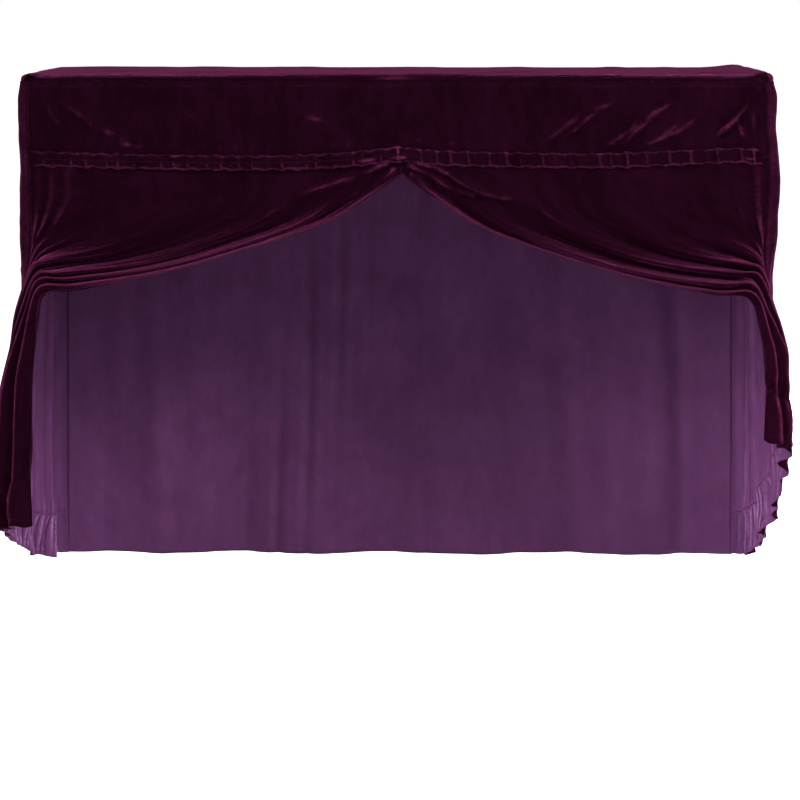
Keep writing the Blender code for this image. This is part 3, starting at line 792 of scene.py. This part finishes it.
def nap_group():
    """How the pile lies: Mottle is where it is brushed up, the second output where the painted highlight on
    a crest is brighter, and Height its strokes and single tufts."""
    tree = bpy.data.node_groups.new("velvet_nap", "ShaderNodeTree")
    socket(tree, "Vector", "INPUT", "NodeSocketVector")
    socket(tree, "Stroke Height", "INPUT", value=1.0)
    socket(tree, "Tuft Height", "INPUT", value=0.2)
    socket(tree, "Mottle", "OUTPUT")
    socket(tree, "Crush", "OUTPUT")
    socket(tree, "Height", "OUTPUT")
    into = tree.nodes.new("NodeGroupInput")
    out = tree.nodes.new("NodeGroupOutput")
    vector = into.outputs["Vector"]
    clouds = noise_node(tree, vector, CLOUDS)
    strokes = noise_node(tree, vector, STROKES)
    # Patches where the painted highlight on crests is brighter.
    highlight_noise = noise_node(tree, vector, HIGHLIGHT_PATCHES)
    tree.links.new(map_range(tree, highlight_noise, 0.36, 0.62), out.inputs["Crush"])
    tufts = noise_node(tree, vector, TUFTS)
    both = math_node(tree, "MULTIPLY", math_node(tree, "ADD", clouds, strokes), 0.5)
    tree.links.new(map_range(tree, both, 0.36, 0.66), out.inputs["Mottle"])
    stroke_height = math_node(tree, "MULTIPLY", strokes, into.outputs["Stroke Height"])
    tuft_height = math_node(tree, "MULTIPLY", tufts, into.outputs["Tuft Height"])
    tree.links.new(math_node(tree, "ADD", stroke_height, tuft_height), out.inputs["Height"])
    return tree


def colour_mix(tree, share, first, second):
    node = tree.nodes.new("ShaderNodeMix")
    node.data_type = "RGBA"
    for name, value in (("A", first), ("B", second)):
        if isinstance(value, tuple):
            node.inputs[name].default_value = value
        else:
            tree.links.new(value, node.inputs[name])
    tree.links.new(share, node.inputs["Factor"])
    return node.outputs["Result"]


def map_range(tree, value, low, high, to_low=0.0, to_high=1.0):
    node = tree.nodes.new("ShaderNodeMapRange")
    for name, number in (("From Min", low), ("From Max", high), ("To Min", to_low), ("To Max", to_high)):
        node.inputs[name].default_value = number
    tree.links.new(value, node.inputs["Value"])
    return node.outputs[0]


def cloth_material(face, group):
    """A cloth face. The nap mixes its dark and light, crests get a painted highlight and troughs a painted
    shade.
    """
    # The third colour is the painted highlight on crests, the fourth the painted shade in troughs.
    dark, light, crest, painted_trough_shade = face.colours
    material = bpy.data.materials.new(face.name)
    material.use_nodes = True
    tree = material.node_tree
    shader = tree.nodes["Principled BSDF"]
    flat_cloth = tree.nodes.new("ShaderNodeUVMap")
    flat_cloth.uv_map = "flat_cloth"
    nap = tree.nodes.new("ShaderNodeGroup")
    nap.node_tree = group
    nap.inputs["Stroke Height"].default_value = face.stroke
    nap.inputs["Tuft Height"].default_value = face.tuft
    tree.links.new(flat_cloth.outputs[0], nap.inputs["Vector"])
    bend = tree.nodes.new("ShaderNodeAttribute")
    bend.attribute_name = "bend"
    mottle = nap.outputs["Mottle"]
    # Where crests take the painted highlight, patchy along them, and where troughs take the painted shade.
    crest_highlight_share = map_range(tree, bend.outputs["Fac"], 0.0, face.bend_sign)
    highlight_patchiness = math_node(tree, "MULTIPLY", map_range(tree, nap.outputs["Crush"], 0.0, 1.0, 0.35, 1.0),
                        map_range(tree, mottle, 0.15, 0.85, 0.45, 1.15))
    painted_light_share = math_node(tree, "MULTIPLY", crest_highlight_share, highlight_patchiness)
    sunk = map_range(tree, bend.outputs["Fac"], 0.0, -face.bend_sign)
    colour = colour_mix(tree, mottle, dark, light)
    # The painted highlight on crests, then the painted shade in troughs, over the nap's colour.
    colour = colour_mix(tree, painted_light_share, colour, crest)
    colour = colour_mix(tree, sunk, colour, painted_trough_shade)
    tree.links.new(colour, shader.inputs["Base Color"])
    rough = map_range(tree, mottle, 0.0, 1.0, face.roughness, face.roughness - BRUSHED_SMOOTHER)
    tree.links.new(rough, shader.inputs["Roughness"])
    bump = tree.nodes.new("ShaderNodeBump")
    bump.inputs["Strength"].default_value = 1.0
    bump.inputs["Distance"].default_value = face.relief
    tree.links.new(nap.outputs["Height"], bump.inputs["Height"])
    tree.links.new(bump.outputs[0], shader.inputs["Normal"])
    shader.inputs["Specular IOR Level"].default_value = face.specular
    shader.inputs["Sheen Weight"].default_value = face.sheen
    shader.inputs["Sheen Tint"].default_value = SHEEN_TINT
    return material, shader


def pile_velvet(group):
    material, shader = cloth_material(PILE_FACE, group)
    shader.inputs["Sheen Roughness"].default_value = PILE_SHEEN_ROUGHNESS
    return material


def velvet_ground(group):
    material, _ = cloth_material(GROUND_FACE, group)
    return material


def sewing_thread():
    """Matching thread, twisted, a little glossier than the pile."""
    material = bpy.data.materials.new("sewing_thread")
    material.use_nodes = True
    tree = material.node_tree
    shader = tree.nodes["Principled BSDF"]
    place = tree.nodes.new("ShaderNodeTexCoord").outputs["Object"]
    twist = noise_node(tree, place, TWIST)
    shade = map_range(tree, twist, 0.35, 0.65)
    tree.links.new(colour_mix(tree, shade, THREAD_DARK, THREAD_LIGHT), shader.inputs["Base Color"])
    bump = tree.nodes.new("ShaderNodeBump")
    bump.inputs["Strength"].default_value = 0.5
    bump.inputs["Distance"].default_value = THREAD_RELIEF
    tree.links.new(twist, bump.inputs["Height"])
    tree.links.new(bump.outputs[0], shader.inputs["Normal"])
    shader.inputs["Roughness"].default_value = THREAD_ROUGHNESS
    shader.inputs["Specular IOR Level"].default_value = THREAD_SPECULAR
    return material


# ---------------------------------------------------------------- building
# How sharp a bend must be to take the painted highlight on a crest and the painted shade in a trough: none
# below SOFT_BEND, full from SHARP_BEND, measured over BEND_REACH.
BEND_REACH = 0.0060
SOFT_BEND = 14.0
SHARP_BEND = 190.0

# nap is how strong the painted highlight on a sheet's crests and the painted shade in its troughs can be,
# or a function of u that says so, keen how readily they show, and quiet how far from its edges they are
# kept off. nap_size is the size that the nap's pattern is spread over, where that isn't the size of the cut.
Cut = namedtuple("Cut", "width length held rests_on area nap keen quiet nap_size",
                 defaults=(None, 1.0, 1.0, 0.010, None))


def mark_bends(grid, columns, rows, cut):
    """Writes how sharply the cloth bends at each point, up to 1 on a crest and down to -1 in a trough, as the
    strength of the painted highlight on crests and the painted shade in troughs.
    """
    bend = grid.verts.layers.float.new("bend")
    grid.normal_update()
    grid.verts.ensure_lookup_table()
    across = columns + 1
    steps = [(1, max(1, round(BEND_REACH * columns / cut.width)), columns),
             (across, max(1, round(BEND_REACH * rows / cut.length)), rows)]
    sizes = (cut.width, cut.length)
    for number, vert in enumerate(grid.verts):
        place = (number % across, number // across)
        sharpest = 0.0
        for (stride, reach, last), at in zip(steps, place):
            reach = min(reach, at, last - at)
            if reach:
                ahead = grid.verts[number + stride * reach].co - vert.co
                behind = grid.verts[number - stride * reach].co - vert.co
                turn = -(ahead + behind).dot(vert.normal) / (ahead.length * behind.length)
                sharpest = turn if abs(turn) > abs(sharpest) else sharpest
        # How much of the painted highlight on a crest, and of the painted shade in a trough, this bend takes.
        painted_light_share = ease((abs(sharpest) * cut.keen - SOFT_BEND) / (SHARP_BEND - SOFT_BEND))
        border = min(min(at, last - at) / last * size for (_, _, last), at, size in zip(steps, place, sizes))
        # How strong the painted highlight and shade can be on this sheet, here.
        nap = cut.nap(place[0] / columns) if callable(cut.nap) else cut.nap
        vert[bend] = math.copysign(nap * painted_light_share * ease(border / cut.quiet), sharpest)


def lay_sheet(name, columns, rows, place, flip, cut, faces):
    """One cut sheet on the folds of its solid, which it replaces."""
    grid = bmesh.new()
    bmesh.ops.create_grid(grid, x_segments=columns, y_segments=rows, size=0.5)
    flat_cloth = grid.loops.layers.uv.new("flat_cloth")
    nap_width, nap_length = cut.nap_size or (cut.width, cut.length)
    for face in grid.faces:
        for corner in face.loops:
            at = corner.vert.co
            corner[flat_cloth].uv = ((at.x + 0.5) * nap_width, (at.y + 0.5) * nap_length)
    for vert in grid.verts:
        vert.co = place(vert.co.x + 0.5, 0.5 - vert.co.y)
    if flip:
        bmesh.ops.reverse_faces(grid, faces=grid.faces)
    mark_bends(grid, columns, rows, cut)
    mesh = bpy.data.meshes.new(name + "_cloth")
    grid.to_mesh(mesh)
    grid.free()
    mesh.shade_smooth()
    for material in faces:
        mesh.materials.append(material)
    piece = bpy.data.objects.new(name + "_cloth", mesh)
    bpy.context.scene.collection.objects.link(piece)
    thickness = piece.modifiers.new("thickness", "SOLIDIFY")
    thickness.thickness = CLOTH
    thickness.offset = 0.0
    thickness.material_offset = 1
    thickness.material_offset_rim = 0
    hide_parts(name)
    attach(piece, "root")


def run_line(place, fixed, along_u, samples=STITCH_SAMPLES, start=STITCH_START, end=STITCH_END):
    """Points and outward normals of a stitched line, which keeps one of a sheet's u and v fixed."""
    line = []
    for number in range(samples + 1):
        t = mix(start, end, number / samples)
        u, v = (t, fixed) if along_u else (fixed, t)
        point = place(u, v)
        beside = place(u + NEARBY, v) - place(u - NEARBY, v)
        below = place(u, v + NEARBY) - place(u, v - NEARBY)
        line.append((point, below.cross(beside).normalized()))
    return line


def sew_line(thread, line, outside):
    """Separate stitches at an even pitch along a line, each half sunk in the pile."""
    travelled = 0.0
    next_stitch = STITCH_PITCH
    for (start, normal), (end, _) in zip(line, line[1:]):
        step = end - start
        if step.length < 1e-6:
            continue
        while travelled + step.length >= next_stitch:
            middle = start + step * ((next_stitch - travelled) / step.length)
            middle += normal * outside * (CLOTH / 2.0 + STITCH_PROUD)
            add_stitch(thread, middle, step.normalized(), normal)
            next_stitch += STITCH_PITCH
        travelled += step.length


def add_stitch(thread, middle, onward, normal):
    """One stitch: a slim oval that lies along the seam."""
    aside = onward.cross(normal).normalized()
    axes = Matrix((onward * STITCH_LENGTH / 2.0, aside * STITCH_RADIUS, aside.cross(onward) * STITCH_RADIUS))
    lying = Matrix.Translation(middle) @ axes.transposed().to_4x4()
    bmesh.ops.create_icosphere(thread, subdivisions=1, radius=1.0, matrix=lying)


def sew(name, lines, outside, thread_material):
    """The rows of stitches on one sheet, as one piece."""
    thread = bmesh.new()
    for line in lines:
        sew_line(thread, line, outside)
    bmesh.ops.recalc_face_normals(thread, faces=thread.faces)
    mesh = bpy.data.meshes.new(name + "_stitches")
    thread.to_mesh(mesh)
    thread.free()
    mesh.shade_smooth()
    mesh.materials.append(thread_material)
    piece = bpy.data.objects.new(name + "_stitches", mesh)
    bpy.context.scene.collection.objects.link(piece)
    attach(piece, "root")
    return piece


def build_cover():
    group = nap_group()
    faces = [pile_velvet(group), velvet_ground(group)]
    thread = sewing_thread()

    def lay(name, columns, rows, place, flip, cut, lines=(), outside=1.0):
        stitches = [sew(name, lines, outside, thread)] if lines else []
        lay_sheet(name, columns, rows, place, flip, cut, faces)

    lay("top_panel", 230, 90, top_point, False, Cut(1.545, 0.426, "laid", ["lid_rest"]))
    lay("front_valance", 500, 60, valance_point, False,
        Cut(1.495, 0.162, "hung", ["top_panel"], None, VALANCE_HIGHLIGHT, VALANCE_KEEN, 0.024, (1.480, 0.155)))
    lay("shirred_band", 1100, 24, band_point, False,
        Cut(1.750, 0.040, "gathered", ["front_valance"], None, band_highlight, 0.8, 0.002, (1.750, 0.034)),
        [run_line(band_point, line, True, BAND_SAMPLES, end=end) for line, end in BAND_STITCHES])
    lay("back_panel", 240, 100, back_point, True,
        Cut(1.600, 1.105, "hung", ["top_panel"], None, 1.0, WALL_KEEN),
        [run_line(back_point, 1.0 - HEM / BACK_LENGTH, True)], -1.0)
    for side in SIDES:
        left = side.sign < 0
        curtain = partial(curtain_point, side)
        curtain_frill = partial(curtain_frill_point, side)
        side_frill = partial(side_frill_point, side)
        lay(f"side_panel_{side.name}", 100, 150, partial(side_point, side), left,
            Cut(0.440, 1.010, "hung", ["top_panel"], None, 1.0, WALL_KEEN))
        lay(f"curtain_{side.name}", 210, 180, curtain, not left,
            Cut(0.765, 1.200, "draped", ["front_valance"], CURTAIN_CUT_AREA, nap_size=(0.760, 0.640)),
            [run_line(curtain, LEADING_HEM, False, start=CURTAIN_STITCH_START)], -side.sign)
        lay(f"curtain_frill_{side.name}", 180, 18, curtain_frill, not left,
            Cut(0.355, 0.105, "gathered", [f"curtain_{side.name}"], None, 1.0, FRILL_KEEN,
                nap_size=(0.300, 0.105)),
            [run_line(curtain_frill, HEM_LINE, True)], -side.sign)
        lay(f"side_frill_{side.name}", 220, 20, side_frill, left,
            Cut(0.580, 0.105, "gathered", [f"side_panel_{side.name}"], None, 1.0, FRILL_KEEN,
                nap_size=(0.500, 0.102)),
            [run_line(side_frill, HEM_LINE, True)], side.sign)


# ---------------------------------------------------------------- studio
FLOOR_Z = -1.232
FLOOR_SIZE = 60.0
WORLD_LIGHT = 0.35
FLOOR_GLOW = 0.90
FLOOR_SHADE = (0.88, 0.88, 0.88, 1.0)
FLOOR_ROUGHNESS = 0.9
WHITE = (1.0, 1.0, 1.0, 1.0)

# power is in watts, and spread is the light's cone in degrees.
Softbox = namedtuple("Softbox", "name place aim size power spread")
SOFTBOXES = [
    Softbox("key_softbox", (2.2, -2.4, 2.6), (0.2, 0.0, -0.3), (1.6, 1.2), 168.0, 180.0),
    Softbox("fill_softbox", (-2.4, -2.2, 2.4), (-0.2, 0.0, -0.3), (1.6, 1.2), 38.0, 180.0),
    Softbox("top_softbox", (-1.2, 0.9, 2.4), (-0.5, 0.0, 0.0), (2.2, 1.2), 58.0, 180.0),
    Softbox("rear_softbox", (1.9, 2.8, -0.62), (0.0, 0.2, -0.58), (1.8, 1.0), 100.0, 180.0),
    Softbox("low_left_softbox", (-1.3, -2.3, -0.9), (0.79, -0.05, -0.92), (0.5, 0.5), 1.6, 18.0),
    Softbox("low_right_softbox", (1.3, -2.3, -0.9), (-0.80, -0.05, -0.98), (0.5, 0.5), 0.8, 18.0),
]

CAMERA_PLACE = (0.0568, -4.085, 0.168)
CAMERA_DOWN = 12.1
CAMERA_TURN = 0.72
LENS = 86.1
SENSOR = 36.0


def seen_only(tree, lighting, seen):
    """A strength that is lighting for the object and seen where the camera looks straight at it."""
    path = tree.nodes.new("ShaderNodeLightPath")
    choice = tree.nodes.new("ShaderNodeMapRange")
    choice.inputs["To Min"].default_value = lighting
    choice.inputs["To Max"].default_value = seen
    tree.links.new(path.outputs["Is Camera Ray"], choice.inputs["Value"])
    return choice.outputs[0]


def area_light(softbox):
    data = bpy.data.lights.new(softbox.name, "AREA")
    data.shape = "RECTANGLE"
    data.size, data.size_y = softbox.size
    data.energy = softbox.power
    data.spread = math.radians(softbox.spread)
    lamp = bpy.data.objects.new(softbox.name, data)
    lamp.location = softbox.place
    onward = Vector(softbox.aim) - Vector(softbox.place)
    lamp.rotation_euler = onward.to_track_quat("-Z", "Y").to_euler()
    bpy.context.scene.collection.objects.link(lamp)


def build_studio():
    floor_mesh = bpy.data.meshes.new("floor")
    plane = bmesh.new()
    bmesh.ops.create_grid(plane, x_segments=1, y_segments=1, size=FLOOR_SIZE / 2.0)
    bmesh.ops.translate(plane, verts=plane.verts, vec=(0.0, 0.0, FLOOR_Z))
    plane.to_mesh(floor_mesh)
    plane.free()
    floor = bpy.data.objects.new("floor", floor_mesh)
    bpy.context.scene.collection.objects.link(floor)
    pale = bpy.data.materials.new("pale_floor")
    pale.use_nodes = True
    shader = pale.node_tree.nodes["Principled BSDF"]
    shader.inputs["Base Color"].default_value = FLOOR_SHADE
    shader.inputs["Roughness"].default_value = FLOOR_ROUGHNESS
    shader.inputs["Emission Color"].default_value = WHITE
    glow = seen_only(pale.node_tree, 0.0, FLOOR_GLOW)
    pale.node_tree.links.new(glow, shader.inputs["Emission Strength"])
    floor_mesh.materials.append(pale)

    for softbox in SOFTBOXES:
        area_light(softbox)

    world = bpy.data.worlds.new("studio")
    bpy.context.scene.world = world
    world.use_nodes = True
    air = world.node_tree.nodes["Background"]
    air.inputs["Color"].default_value = WHITE
    world.node_tree.links.new(seen_only(world.node_tree, WORLD_LIGHT, 1.0), air.inputs["Strength"])
    bpy.context.scene.view_settings.view_transform = "Standard"


def build_camera():
    data = bpy.data.cameras.new("camera")
    data.sensor_width = SENSOR
    data.lens = LENS
    camera = bpy.data.objects.new("camera", data)
    camera.location = CAMERA_PLACE
    camera.rotation_euler = (math.radians(90.0 - CAMERA_DOWN), 0.0, math.radians(CAMERA_TURN))
    bpy.context.scene.collection.objects.link(camera)
    bpy.context.scene.camera = camera


# ---------------------------------------------------------------- the scene
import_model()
for leftover in [o for o in bpy.data.objects if o.name in ("Cube", "Light", "Camera")]:
    bpy.data.objects.remove(leftover)
build_camera()
build_cover()
build_studio()
